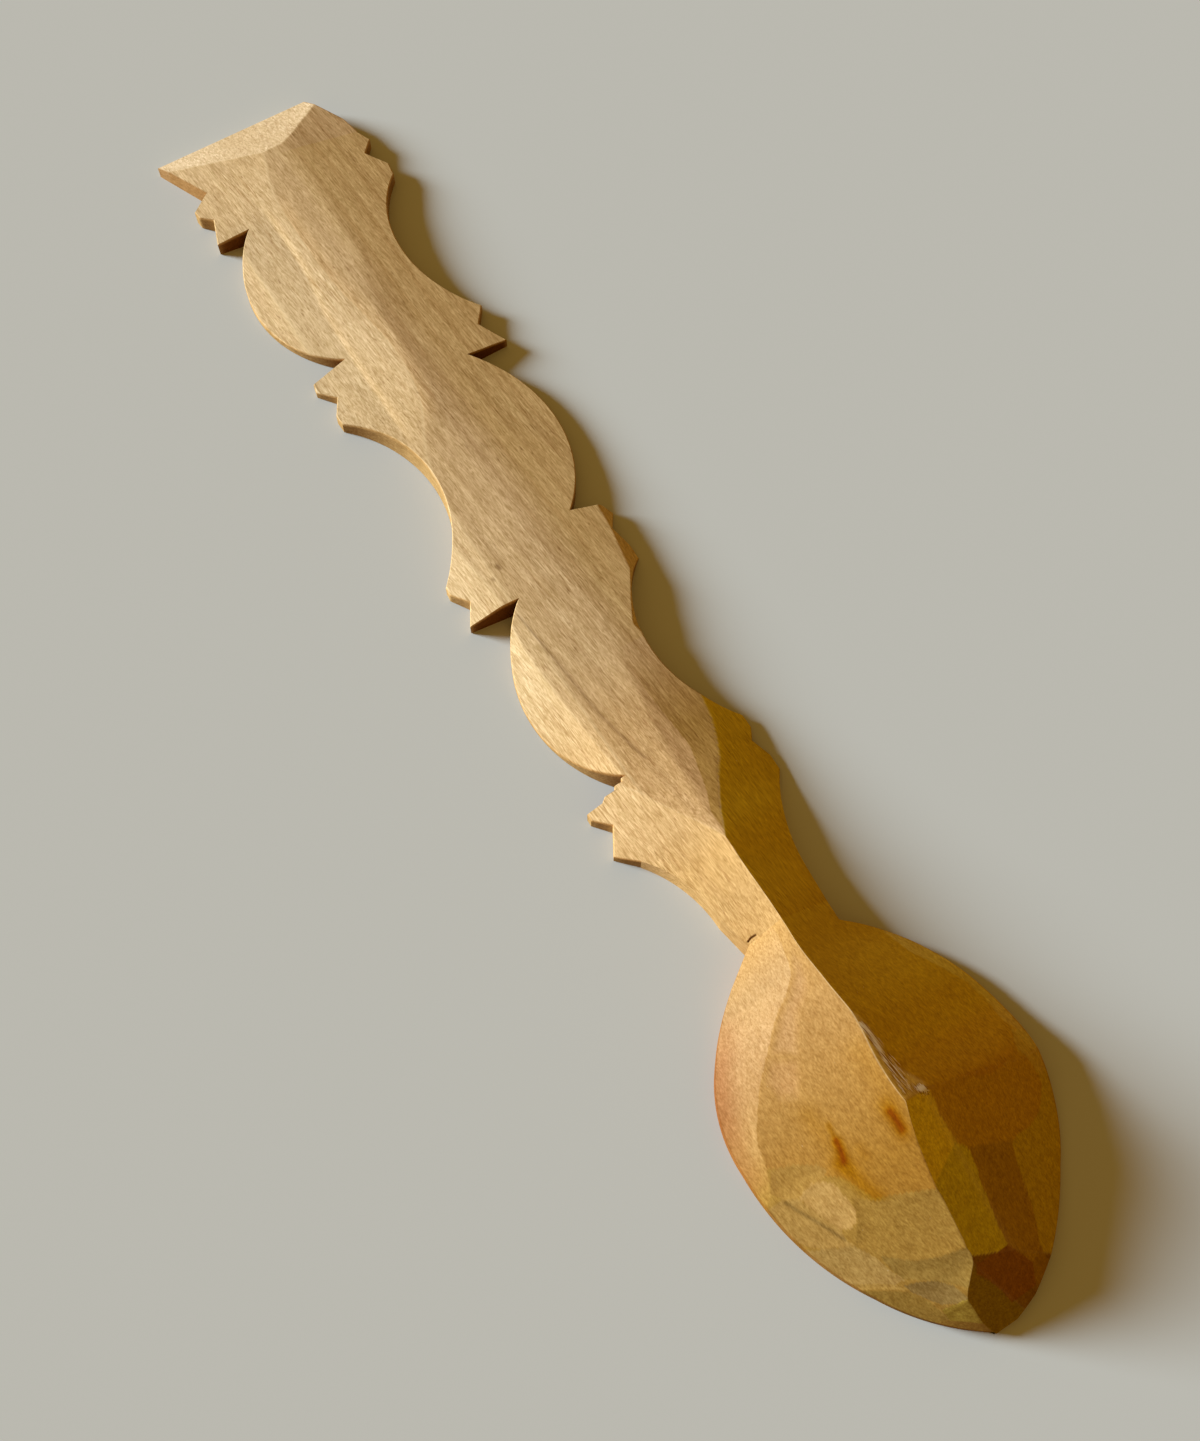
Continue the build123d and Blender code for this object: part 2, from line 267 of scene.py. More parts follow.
def handle_back(x, y):
    """The carved back of the handle and neck: height, worn arrises, tone of the wood with painted light and
    shade, torn grain.

    The height is that of the lowest cut, less the crack beside the neck. The tone is a tint along each cut,
    with painted shade on the cuts turned from the daylight: right of the cut near the neck, over the neck's
    right facet and on the right bevels. A painted highlight runs just beside one long knife stroke and along
    the band's left edge, with painted shade on the left face beside the stroke. A hair-thin painted shadow
    line, two darker specks and painted shade in the crack darken it further."""
    z, arris, face = lowest(handle_faces(x, y) + roof_faces(x, y), handle_wear)
    scoop = tint(y, (-45, (1.02, 0.92, 0.81)), (-25, (0.91, 0.83, 0.72)), (-10, (1, 1, 1)))
    # Right of this cut near the neck, on the side turned from the daylight, the tone carries painted shade.
    right_cut = x > straight(y, (-46, 1.5), (-41.7, 3.4), (-33.8, 5.6), (-21.5, 4.9), (-12, 5))
    shade = tint(y, (-30, (0.72, 0.68, 0.42)), (-14, (1, 1, 1)))
    tone = np.where(right_cut[..., None], scoop * shade, scoop)
    # Less blue towards the handle's right edge.
    less_blue_rightwards = np.clip((x - 5) / 5, 0, 1) * (y > -12)
    tone = tone * (1 - less_blue_rightwards[..., None] * (0, 0, 0.12))
    left_pale = (1.03, 1.05, 1.09)
    left_tint = tint(y, (40, (1, 1, 1)), (65, left_pale), (105, left_pale), (118, (1, 1, 1)))
    tone[face == left_face] *= left_tint[face == left_face]
    # A painted highlight just right of one long knife stroke and along the band's left edge, with painted
    # shade on the left face beside the stroke.
    stroke = x - straight(y, (46.8, -5.2), (70.6, -5.1), (78.9, -4.9), (86.8, -3.9), (95.2, -3.5),
                          (110, -3.6))
    stretch = straight(y, (42, 0), (50, 1), (103, 1), (109, 0))
    pale = 0.15 * np.exp(-((stroke - 0.6) / 0.6) ** 2) - 0.11 * ((stroke < 0) & (face == left_face))
    pale = pale + 0.22 * np.clip(1 - (x - band_edge(y)) / 3, 0, 1) * (face == band_face)
    tone = tone * (1 + stretch * pale)[..., None]
    # The right bevels, turned from the daylight, carry painted shade.
    tone[face == right_bevel] = 1.0, 0.97, 0.6
    left_tint = tint(y, (-66.8, (0.76, 0.62, 0.41)), (-60, (0.80, 0.68, 0.49)), (-52, (0.97, 0.84, 0.62)),
                     (-45, (1.03, 0.94, 0.81)), (-35, (1.06, 1.0, 0.92)))
    tone[face == left_roof] = left_tint[face == left_roof]
    # The neck's right facet, turned from the daylight, carries painted shade: deep, warm and nearly without
    # blue.
    painted_shade_tint = tint(y, (-66.8, (0.92, 0.80, 0.055)), (-56, (1.0, 0.94, 0.07)), (-45, (1.03, 1.0, 0.08)))
    tone[face == right_roof] = painted_shade_tint[face == right_roof]
    # A hair-thin painted shadow line, then two darker specks; the crack is sunk and darkened with painted
    # shade.
    line = 0.5 * smear(x, y, 0.22, (-6.2, 2.1), (-5, -9.9), (-4, -21.3), (-2, -32))
    line += 0.7 * smear(x, y, 0.35, (-4.4, 12.4), (-4.3, 11.7))
    line += 0.5 * smear(x, y, 0.3, (-6.4, 10.6), (-6.3, 10.2))
    crack = smear(x, y, 0.15, (-4.65, -66.35), (-4.1, -66.2), (-3.4, -66.3))
    tone = tone * (1 - (line + 0.85 * crack)[..., None] * (0.75, 0.85, 0.95))
    return z - 0.4 * crack, arris, tone, np.zeros_like(z)


def solid(name, loops, arris, tone, torn):
    """A closed piece from a stack of loops (stations, points, xyz in mm), with flat ends."""
    stations, points = loops.shape[:2]
    ring = np.arange(points)
    start = np.arange(stations - 1)[:, None] * points
    after = np.roll(ring, -1)
    quads = np.stack([start + ring, start + after, start + points + after, start + points + ring], -1)
    ends = [ring[::-1].tolist(), ((stations - 1) * points + ring).tolist()]
    mesh = bpy.data.meshes.new(name)
    mesh.from_pydata((loops.reshape(-1, 3) * mm).tolist(), [], quads.reshape(-1, 4).tolist() + ends)
    mesh.attributes.new("arris", "FLOAT", "POINT").data.foreach_set("value", np.float32(arris).ravel())
    colours = np.dstack([tone, torn])
    mesh.attributes.new("tone", "FLOAT_COLOR", "POINT").data.foreach_set("color", np.float32(colours).ravel())
    mesh.shade_smooth()
    arris_angle = math.radians(38)
    mesh.set_sharp_from_angle(angle=arris_angle)
    mesh.materials.append(wood)
    piece = bpy.data.objects.new(name, mesh)
    bpy.context.scene.collection.objects.link(piece)
    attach(piece, "root")
    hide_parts(name)


def across(left, right, count, back, front=None, ridge=None, rim=1.0):
    """Loops across the spoon: over the back from left to right, then home along the front.

    Plan runs straight from left to right in even steps. With a ridge given, one row of points runs
    along it and one close beside it. The two edges are toned by the rim."""
    u = np.linspace(0, 1, count)[None, :, None]
    plan = left[:, None] + (right - left)[:, None] * u
    if ridge is not None:
        half = np.linspace(0, 1, count // 2)[None, :, None]
        close = 0.002
        beyond = np.maximum(half, close)
        plan = np.concatenate([left[:, None] + (ridge - left)[:, None] * half,
                               ridge[:, None] + (right - ridge)[:, None] * beyond], 1)
    z, arris, tone, torn = back(plan[..., 0], plan[..., 1])
    under = np.zeros_like(z) if front is None else front(plan[..., 0], plan[..., 1])
    top = np.dstack([plan, z])
    bottom = np.dstack([plan, under])[:, ::-1]
    edges = (0, -1)
    tone[:, edges] *= rim
    plain = tint(plan[..., 1], (-72, (0.80, 0.65, 0.42)), (-45, (1, 1, 1)))
    plain[:, edges] = tone[:, edges]
    pairs = ((top, bottom), (arris, 0 * arris), (tone, plain[:, ::-1]), (torn, 0 * torn))
    return [np.concatenate(pair, 1) for pair in pairs]


def stem_side(side, y):
    """Plan of the straight line where the stem ends and a leaf or lobe begins."""
    x = straight(y, (neck_top, 1.73 + 4.5 * side), (crest_foot, 4.38 + 8.6 * side))
    return np.stack([x, y], -1)


y = np.linspace(neck_top, crest_foot, 470)
solid("stem", *across(stem_side(-1, y), stem_side(1, y), 60, handle_back))

# The neck is the waist between handle and bowl, cut to a roof of two facets with a sharp ridge.
# It widens upwards in a hollow curve on each side to meet the lowest leaves.


def trace(*moves, step=0.35):
    """An outline in plan: a straight cut to each (x, y), or a swept one through (x, y) to (x, y).

    A swept cut is the arc of a circle through its three places."""
    runs = [np.array([moves[0]], float)]
    for move in moves[1:]:
        a = runs[-1][-1]
        b = np.array(move[-2:], float)
        if len(move) == 2:
            t = np.linspace(0, 1, max(int(np.hypot(*(b - a)) / step), 2) + 1)[1:]
            runs.append(a + (b - a) * t[:, None])
            continue
        m = np.array(move[:2], float)
        chords = np.array([m - a, b - a])
        middle = a + np.linalg.solve(2 * chords, (chords**2).sum(1))
        turn = np.unwrap([math.atan2(*(p - middle)[::-1]) for p in (a, m, b)])
        radius = np.hypot(*(a - middle))
        t = np.linspace(turn[0], turn[2], max(int(radius * abs(turn[2] - turn[0]) / step), 4) + 1)[1:]
        runs.append(middle + radius * np.stack([np.cos(t), np.sin(t)], -1))
    return np.concatenate(runs)


def at_height(outline, y):
    """Plan of the outline, listed from the top down, where it passes each y."""
    return np.stack([np.interp(y, outline[::-1, 1], outline[::-1, 0]), y], -1)


def on_keel(y):
    """Plan of the ridge."""
    return np.stack([keel(y)[0], y], -1)


left_neck = trace((-14.3, -42.6), (-8.3, -50.6, -6.0, -61.0), (-4.9, neck_foot))
right_neck = trace((17.5, -43.3), (12.3, -52.6, 10.6, -60.5), (9.9, neck_foot))
y = np.linspace(neck_foot, neck_top, 200)
solid("neck", *across(at_height(left_neck, y), at_height(right_neck, y), 120, handle_back, ridge=on_keel(y)))

# The bowl is egg-shaped and turned a little to the left. Its back is keeled and cut in broad flat
# facets, with smaller knife cuts over them, each listed by its tone and its corners in plan; its
# front is hollowed out, which leaves a wall of a few millimetres. The tones are painted light and
# shade: the facets right of the keel, turned from the daylight, carry painted shade, and the small
# cuts on the left carry painted light and shade over their shallow real cuts.
bowl_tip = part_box("bowl")[0].y / mm
left_rim = trace((-4.9, neck_foot), (-10.6, -70.9), (-14.4, -74.2, -18.6, -79.0),
                 (-23.1, -88.0, -23.8, -94.5), (-22.6, -106.0, -17.0, -118.6),
                 (-12.0, -125.2, -4.8, bowl_tip))
right_rim = trace((9.9, neck_foot), (9.5, -70.6), (15.0, -74.7, 19.8, -81.3),
                  (23.3, -90.6, 24.2, -100.4), (22.2, -109.5, 17.0, -117.6),
                  (10.0, -124.8, 2.5, -129.8), (-1.5, bowl_tip))
left_facet, upper_facet, side_facet, keel_facet = range(4)
# Tones of the facets, left to crown; right of the keel they are painted shade, deep and warm, for the side
# turned from the daylight.
facet_shade_tones = np.array([
    (1, 1, 1), (0.94, 0.84, 0.11), (0.83, 0.745, 0.03), (0.97, 1.02, 0.06),  # left, upper, side, keel
    (0.42, 0.28, 0.022), (0.46, 0.39, 0.022), (0.92, 0.76, 0.20)])  # tip, end, crown
cut_reach = 1.2
# Soft cuts: their tones are painted light and shade, blended in over a shallow cut.
soft_cuts = {
    "under_the_neck": ((0.73, 0.57, 0.39), (
        (-1.1, -71.4), (-0.7, -74.1), (-1.3, -76.5), (-2.4, -78.5), (-4.0, -79.6), (-5.2, -80.3),
        (-7.1, -83.0), (-8.9, -85.6), (-12.0, -82.8), (-8.3, -78.9), (-5.3, -77.0), (-3.2, -74.9))),
    "shoulder": ((0.695, 0.52, 0.317), (
        (-12.5, -83.0), (-8.9, -85.7), (-10.3, -88.5), (-12.1, -90.3), (-14.6, -88.8), (-15.0, -85.8))),
    "shoulder_end": ((0.744, 0.576, 0.354), (
        (-14.6, -88.2), (-12.5, -89.4), (-11.1, -88.8), (-12.0, -90.7), (-13.5, -90.2), (-14.9, -89.0)))}
# Small knife cuts on the left: their tones are the painted light and shade of each facet over its shallow
# cut.
left_cuts = {
    "wedge": ((0.55, 0.425, 0.166), (
        (-20.6, -96.4), (-18.6, -96.9), (-16.3, -98.3), (-14.9, -99.4), (-14.1, -100.6),
        (-15.6, -101.4), (-18.0, -101.2), (-19.3, -101.7), (-21.1, -100.7), (-22.1, -99.0))),
    "scallop": ((0.70, 0.575, 0.30), (
        (-19.3, -101.7), (-18.0, -101.1), (-16.8, -101.0), (-15.4, -101.6), (-14.4, -102.8),
        (-13.8, -106.6), (-14.0, -107.9), (-14.7, -108.8), (-15.8, -108.9), (-16.7, -108.2),
        (-17.3, -107.1), (-18.7, -103.3))),
    "long_stroke": ((0.565, 0.455, 0.206), (
        (-21.5, -100.4), (-19.3, -101.8), (-18.0, -105.2), (-16.7, -108.3), (-16.8, -109.8),
        (-16.2, -111.1), (-20.0, -109.2), (-22.0, -107.2), (-23.5, -104.0), (-24.0, -100.6))),
    "broad_cut": ((0.54, 0.425, 0.147), (
        (-13.2, -105.8), (-10.9, -107.8), (-9.0, -108.9), (-6.6, -110.0), (-2.0, -111.5), (-3.0, -119.3),
        (-7.0, -118.5), (-8.9, -117.9), (-10.5, -117.0), (-13.4, -114.2), (-16.1, -111.2),
        (-14.6, -108.9))),
    "lower_left_cut": ((0.59, 0.50, 0.25), (
        (-20.0, -109.2), (-16.3, -111.1), (-14.7, -113.8), (-13.5, -117.0), (-12.8, -118.5),
        (-14.2, -118.3), (-16.3, -116.8), (-20.5, -114.3), (-22.5, -107.8))),
    "lower_right_cut": ((0.475, 0.40, 0.158), (
        (-14.1, -114.0), (-10.6, -117.1), (-7.1, -118.6), (-3.0, -119.6), (-3.5, -121.3), (-6.0, -124.2),
        (-7.7, -122.4), (-9.6, -120.6), (-12.8, -118.4), (-13.5, -117.0))),
    "pale_sliver": ((0.66, 0.55, 0.236), (
        (-20.5, -114.3), (-16.3, -116.8), (-14.2, -118.3), (-13.2, -119.7), (-16.1, -117.7),
        (-18.8, -116.2))),
    "grey_sliver": ((0.415, 0.36, 0.185), (
        (-13.2, -119.1), (-11.6, -119.6), (-9.5, -120.7), (-7.8, -122.5), (-6.9, -125.0), (-8.4, -124.8),
        (-10.2, -123.8), (-11.3, -122.4), (-12.8, -120.3))),
    "tip_cut": ((0.58, 0.54, 0.15), (
        (-8.4, -124.8), (-4.0, -125.3), (-3.0, -131.5), (-8.0, -127.7), (-10.1, -126.2), (-10.5, -124.4))),
    "rim_cut": ((0.465, 0.385, 0.134), (
        (-18.8, -116.2), (-13.2, -120.0), (-11.4, -122.5), (-10.1, -126.0), (-14.0, -124.9),
        (-18.0, -121.1), (-20.0, -118.9)))}
# Cuts on the right, turned from the daylight: their tones are painted shade, and the one at the rim is a
# painted sheen.
right_cuts = {
    "broad_side": ((0.84, 0.64, 0.028), (
        (3.1, -98.0), (8.2, -99.6), (11.2, -101.0), (13.4, -101.7), (16.0, -102.0), (17.6, -101.4),
        (20.7, -100.5), (21.7, -104.6), (21.3, -106.9), (18.7, -109.7), (15.7, -110.7), (11.4, -111.0),
        (4.1, -108.5), (3.0, -107.4), (2.8, -105.5), (2.6, -103.0), (3.1, -101.1))),
    "lower_side": ((0.65, 0.49, 0.033), (
        (4.1, -108.5), (11.4, -111.0), (10.2, -114.3), (9.5, -117.0), (8.9, -119.7), (7.9, -122.3),
        (6.7, -124.7), (4.4, -126.0), (2.0, -122.2), (2.1, -119.9), (2.5, -117.2), (3.1, -113.9),
        (3.8, -110.8))),
    "painted_rim_sheen": ((0.92, 0.815, 0.12), (
        (20.7, -100.5), (21.7, -104.6), (22.2, -106.0), (24.6, -104.0), (24.6, -99.5), (22.2, -98.0))),
    "tip_side": ((0.46, 0.246, 0.022), (
        (-3.9, -121.8), (2.0, -122.2), (4.4, -126.0), (3.3, -128.8), (-1.3, -128.8), (-1.9, -126.9),
        (-3.0, -124.7), (-4.4, -123.0))),
    "tip_corner": ((0.53, 0.37, 0.015), (
        (4.4, -126.0), (6.7, -124.7), (6.9, -127.4), (5.4, -128.9), (3.3, -128.8)))}


def tilted(x, y, place, height, right, up):
    """A flat facet through a place in plan, with its rise per mm to the right and to the neck."""
    return height + right * (x - place[0]) + up * (y - place[1])


def inside(x, y, *corners):
    """Distance in plan from the edge of an outline for points inside it, and 0 for points outside.

    A point is inside where a level line from it to the right crosses the outline an odd number of times."""
    odd = np.zeros(x.shape, bool)
    for (ax, ay), (bx, by) in zip(corners, corners[1:] + corners[:1]):
        if ay != by:
            odd ^= ((ay > y) != (by > y)) & (x < ax + (bx - ax) * (y - ay) / (by - ay))
    return odd * away(x, y, *corners, corners[0])


def left_back(x, y):
    """Height and tone of the bowl's left back: a ruled face from the keel to the rim, cut by small facets.

    Past the shoulder the face falls 0.14 mm more for each mm, and its tone there is painted lighter, as
    painted light where it faces the daylight. A small facet is sunk by its most depth times 1 - exp(-distance
    from its edge / reach), and a soft one in a straight run over the reach; the tone each takes is painted
    light and shade."""
    middle, height = keel(y)
    rim = at_height(left_rim, y)[..., 0]
    rim_height = smooth(y, (-131, 1.6), (-122, 2.0), (-105, 2.1), (-95, 2.2), (-90, 2.8), (-85, 3.4),
                        (-80, 3.9), (-75, 4.5), (-70.5, 5.5), (-66.8, 6.2))
    left = rim_height + (height - rim_height) * (x - rim) / (middle - rim)
    shoulder = smooth(y, (-100.2, -23.5), (-99.5, -22.6), (-97.8, -21.6), (-95.2, -20.7), (-91.7, -19.9),
                      (-89.4, -18.4), (-85.5, -15.4), (-82, -11.8), (-78.5, -8), (-76.6, -5.1), (-74.8, -3.3),
                      (-71.8, -2.2), (-68.6, -1.2)) - x
    left = left - 0.14 * np.maximum(shoulder, 0) * np.clip((neck_foot - y) / 8, 0, 1)
    body = tint(y, (-104, (0.55, 0.37, 0.095)), (-92, (0.585, 0.425, 0.18)), (-80, (0.69, 0.53, 0.30)),
                (-66.8, (0.80, 0.63, 0.37)))
    # Past the shoulder, where the face turns to the daylight, the tone is painted lighter: painted light.
    upper = tint(y, (-98, (1.15, 1.32, 1.5)), (-94, (1.45, 1.65, 2.3)), (-86, (1.14, 1.2, 1.6)),
                 (-74, (1.1, 1.2, 1.6)), (-67, (1.03, 1.05, 1.15)))
    body = np.where(shoulder[..., None] > 0, body * upper, body)
    # Below this line the broad cut's tone is set: painted light and shade of that facet.
    below = -0.67 * (x + 12.4) - 0.742 * (y + 103.3)
    low = below > straight(x, (-21, 0), (-13, 0), (-11, 2), (-3, -0.5))
    body[low & (shoulder <= 0)] = left_cuts["broad_cut"][0]
    halo = 0.85 * smear(x, y, 1.3, (-12.4, -101), (-11.8, -103.1), (-11.2, -105.6), (-10.6, -107.4))
    halo += 0.6 * smear(x, y, 1.3, (-3.5, -98), (-3.4, -102.5))
    halo += 0.35 * smear(x, y, 1.6, (-12.4, -93), (-11.6, -101.5))
    halo += 0.28 * smear(x, y, 2.2, (-2.0, -90), (-2.2, -98))
    halo += 0.35 * smear(x, y, 0.8, (-9.2, -100.7), (-9.1, -102.1))
    body = body * (1 - np.minimum(halo, 1)[..., None] * (0.12, 0.27, 0.92))
    for shade, corners in soft_cuts.values():
        share = np.clip(inside(x, y, *corners) / cut_reach, 0, 1)
        left = left - 0.1 * share
        body = body + (shade - body) * share[..., None]
    for shade, corners in left_cuts.values():
        depth = inside(x, y, *corners)
        left = left - 0.28 * (1 - np.exp(-depth / cut_reach))
        body[depth > 0] = shade
    return left, body


def right_faces(x, y):
    """The broad facets to the right of the keel, round crown and tip, from the upper one to the crown's."""
    middle = keel(y)[0]
    ridge = smooth(y, (-131, 18.5), (-110, 18.3), (-104, 17.9), (-99.5, 17.3), (-94, 16.2), (-87, 15.0),
                   (-80, 13.8), (-73, 12.3), (-66.8, 10.8))
    right_fall = smooth(y, (-100, 0.54), (-90, 0.57), (-80, 0.62), (-75, 0.66), (-66.8, 0.66))
    upper = ridge - right_fall * (x - middle)
    outer = x - straight(y, (-126.4, 7.1), (-119, 8.9), (-109.4, 11), (-101.4, 21.1))
    side = tilted(x, y, (2.6, -99.5), 15.0, -0.46, 0.37) - 0.06 * np.maximum(outer, 0)
    tip = (-4.2, -121.7)
    return [upper, side,
            tilted(x, y, (-1.3, -99.5), 16.5, -0.38, 0.37),
            tilted(x, y, tip, 9.0, -0.25, 0.70),
            tilted(x, y, tip, 9.0, 0.02, 0.83),
            tilted(x, y, (0.1, -84.3), 14.8, -0.41, -0.087)]


def bowl_ridge(y):
    """Plan of the bowl's ridge, where its left back meets the facets on the right, found by halving."""
    low = keel(y)[0] - 2.5
    high = keel(y)[0] + 2.5
    for _ in range(30):
        x = (low + high) / 2
        on_left = left_back(x, y)[0] < np.min(right_faces(x, y), 0)
        low = np.where(on_left, x, low)
        high = np.where(on_left, high, x)
    return np.stack([x, y], -1)


def bowl_back(x, y):
    """The keeled back: the lowest of the left back and the facets on the right, with the tone of each.

    Two lines in plan, side and foot, part the toned facets on the right; their tones are painted shade, with
    painted sheen along the right rim. Over them come the stains, the rim darkened by handling, a crease
    darkened with painted shade, and the chip of torn grain beside the keel."""
    middle = keel(y)[0]
    left, body = left_back(x, y)
    others = right_faces(x, y)
    z, arris, facet = lowest([left] + others)
    facet = np.where(left < np.min(others, 0) + 0.002, left_facet, facet)
    side = straight(y, (-122.2, 2), (-119.9, 2.1), (-117.2, 2.5), (-113.9, 3.1), (-110.8, 3.8), (-108.5, 4.1),
                    (-107.4, 3), (-105.5, 2.8), (-103, 2.6), (-101.1, 3.1), (-99, 3.6))
    foot = straight(x, (3.8, -98.6), (8.2, -99.6), (11.2, -101), (13.4, -101.7), (16, -102), (17.6, -101.4),
                    (20.7, -100.5))
    near_keel = (facet == side_facet) & (x < side)
    past_keel = (facet == keel_facet) & (x >= side)
    facet = np.where(near_keel, keel_facet, np.where(past_keel, side_facet, facet))
    over_foot = (facet == side_facet) & (y > foot)
    under_foot = (facet == upper_facet) & (y < foot) & (x > 3)
    facet = np.where(over_foot, upper_facet, np.where(under_foot, side_facet, facet))
    tone = facet_shade_tones[facet]
    # A strip along the right rim gets a painted sheen, lighter and bluer.
    strip = x - straight(y, (-100.1, 24.3), (-98, 22.9), (-95.9, 22), (-92.2, 22.1), (-88.5, 21.3),
                         (-84, 18.8), (-80, 16.3), (-75, 15.1))
    # The upper facet's painted shade, evened out along its length.
    upper = tint(y, (-100, (0.85, 0.665, 0.2)), (-97.5, (0.81, 0.63, 0.2)), (-94.5, (0.86, 0.685, 0.2)),
                 (-91.6, (0.98, 0.89, 0.25)), (-88.5, (0.96, 0.87, 0.25)), (-84, (0.89, 0.78, 0.25)),
                 (-79.5, (0.845, 0.73, 0.3)), (-75, (0.90, 0.805, 0.4)), (-68, (0.98, 0.95, 0.5)))
    tone[facet == upper_facet] *= upper[facet == upper_facet]
    tone[(facet == upper_facet) & (strip > 0)] *= 1.07, 1.21, 4.4
    # The upper end of the keel facet is painted lighter: painted light.
    tone[(facet == keel_facet) & (y > -107.2 + 0.52 * (x - 2.4))] *= 1.27, 1.2, 1.2
    # Each cut on the right sets its tone of painted shade and sinks a little.
    for shade, corners in right_cuts.values():
        depth = inside(x, y, *corners) * (facet > left_facet)
        z = z - 0.2 * (1 - np.exp(-depth / cut_reach))
        tone[depth > 0] = shade
    tone = np.where(facet[..., None] == left_facet, 0.955 * body, tone)
    handled = smear(x, y, 2.4, (-15, -75), (-19.4, -80.6), (-22, -86), (-23.4, -92), (-23.6, -96))
    handled *= straight(y, (-92, 1), (-87, 1.45), (-80, 1.45), (-74, 0.6))
    tone = tone * (1 - handled[..., None] * (0.16, 0.28, 0.33))
    stain = smear(x, y, 0.65, (-3.5, -99), (-3.4, -100.1), (-3.5, -101.9))
    stain += smear(x, y, 0.6, (-11.2, -98.3), (-11.4, -99.6), (-11.8, -101))
    stain += 0.4 * smear(x, y, 0.35, (-10.9, -95.7), (-11.2, -98))
    stain = np.minimum(stain, 1)
    tone = tone * (1 - np.stack([0.38 * stain, 0.70 * stain, 1 - (1 - stain) ** 3], -1))
    # Painted shade darkens the crease along the long stroke's edge.
    crease = smear(x, y, 0.2, (-21.1, -101), (-20.1, -103.2), (-18.5, -106.3), (-16.9, -109.7))
    tone = tone * (1 - 0.4 * crease)[..., None]
    chip = smear(x, y, 0.8, (0.5, -87.5), (0.9, -90), (0.9, -94), (0.6, -98)) * (x > middle - 0.4)
    chip += smear(x, y, 0.35, (0.4, -86.5), (0.3, -88), (0, -93), (-0.6, -98))
    chip = np.minimum(chip, 1.25) + 2.0 * smear(x, y, 0.75, (2.0, -98.6), (2.5, -99.1))
    arris = arris * np.where(facet == left_facet, straight(y, (-101, 0.25), (-97, 1)), 0.4)
    return z - 0.1 * crease, arris, tone, 0.75 * chip


def hollow(x, y):
    """The front of the bowl: a cap of a ball drawn out along the bowl, sunk 9 mm into it.

    Height is sqrt(ball ** 2 - reach ** 2) - centre_depth, where it is above the table."""
    turn = math.radians(5.4)
    middle_x, middle_y = -0.2, -98.9
    half_width, half_length = 21.1, 27.2
    ball, centre_depth = 29.2, 20.2
    u = (x - middle_x) * math.cos(turn) - (y - middle_y) * math.sin(turn)
    v = (x - middle_x) * math.sin(turn) + (y - middle_y) * math.cos(turn)
    reach = np.hypot(u, v * half_width / half_length)
    return np.maximum(np.sqrt(np.maximum(ball**2 - reach**2, 0)) - centre_depth, 0)


rim_tone = (0.78, 0.62, 0.45)
y = neck_foot + (bowl_tip - neck_foot) * np.sin(np.linspace(math.pi / 2, 0, 250))
solid("bowl", *across(at_height(left_rim, y), at_height(right_rim, y), 190, bowl_back, hollow,
                      bowl_ridge(y), rim_tone))

# Leaves and lobes stand along both edges of the handle, left and right in turn. Each is cut from
# the same board as the stem, with a wall square to the table and the handle's facets run over it.


def beside(name, side, outline):
    """Loops from an outline in to the stem: up the wall, over the back, and home along the front.

    Each row runs straight from a point of the outline to the stem's side, near the same height. The
    wall is darker all over, as painted shade under the thin edges, and darker still where it cuts
    across the grain, by the share of its run that lies across: real end grain together with painted
    shade. The worn top edge is painted darker too, as painted shade."""
    wall_rows, back_rows, front_rows = 4, 40, 6
    worn_edge, wall_foot, least_height = 0.2, 0.15, 0.6
    step = np.hypot(*np.diff(outline, axis=0).T)
    share = np.concatenate([[0], np.cumsum(step)]) / step.sum()
    level = np.minimum.accumulate(outline[:, 1])
    even = outline[0, 1] + (outline[-1, 1] - outline[0, 1]) * share
    inward = (stem_side(side, 0.75 * level + 0.25 * even) - outline)[:, None]
    worn = np.minimum(worn_edge / np.linalg.norm(inward, axis=-1), 0.5)
    over = np.concatenate([0 * worn, worn + (1 - worn) * np.linspace(0, 1, back_rows) ** 1.3], 1)
    plan = outline[:, None] + inward * over[..., None]
    z, arris, tone, _ = handle_back(plan[..., 0], plan[..., 1])
    z = np.maximum(z, least_height)
    z[:, 0] -= worn_edge
    wall = np.repeat(outline[:, None], wall_rows, 1)
    wall_z = wall_foot + (z[:, :1] - wall_foot) * np.linspace(0, 0.8, wall_rows)
    under = outline[:, None] + inward * (worn + (1 - worn) * np.linspace(1, 0, front_rows))[..., None]
    flat = np.zeros(under.shape[:2])
    loops = np.concatenate([np.dstack([wall, wall_z]), np.dstack([plan, z]), np.dstack([under, flat])], 1)
    # The worn top edge is painted darker: painted shade.
    tone[:, 0] *= 0.85, 0.70, 0.50
    arris = np.concatenate([0 * wall_z, arris, flat], 1)
    near = 4
    turns = np.pad(np.gradient(outline, axis=0), ((near, near), (0, 0)), "edge")
    evened = np.ones(2 * near + 1) / (2 * near + 1)
    run = np.stack([np.convolve(turns[:, i], evened, "valid") for i in (0, 1)], -1)
    # Walls are darkened all over with painted shade, and more where they cross the grain: real end grain with
    # painted shade.
    end_grain_and_shade = (run[:, 0] ** 2 / (run**2).sum(1))[:, None, None]
    wall_shade_and_end_grain = (1 - end_grain_and_shade * (0.66, 0.80, 0.90)) * np.ones((wall_rows, 1)) * (0.72, 0.62, 0.45)
    tone = np.concatenate([wall_shade_and_end_grain, tone, np.ones(under.shape[:2] + (3,))], 1)
    solid(name, loops[:, ::-side], arris[:, ::-side], tone[:, ::-side], 0 * arris)


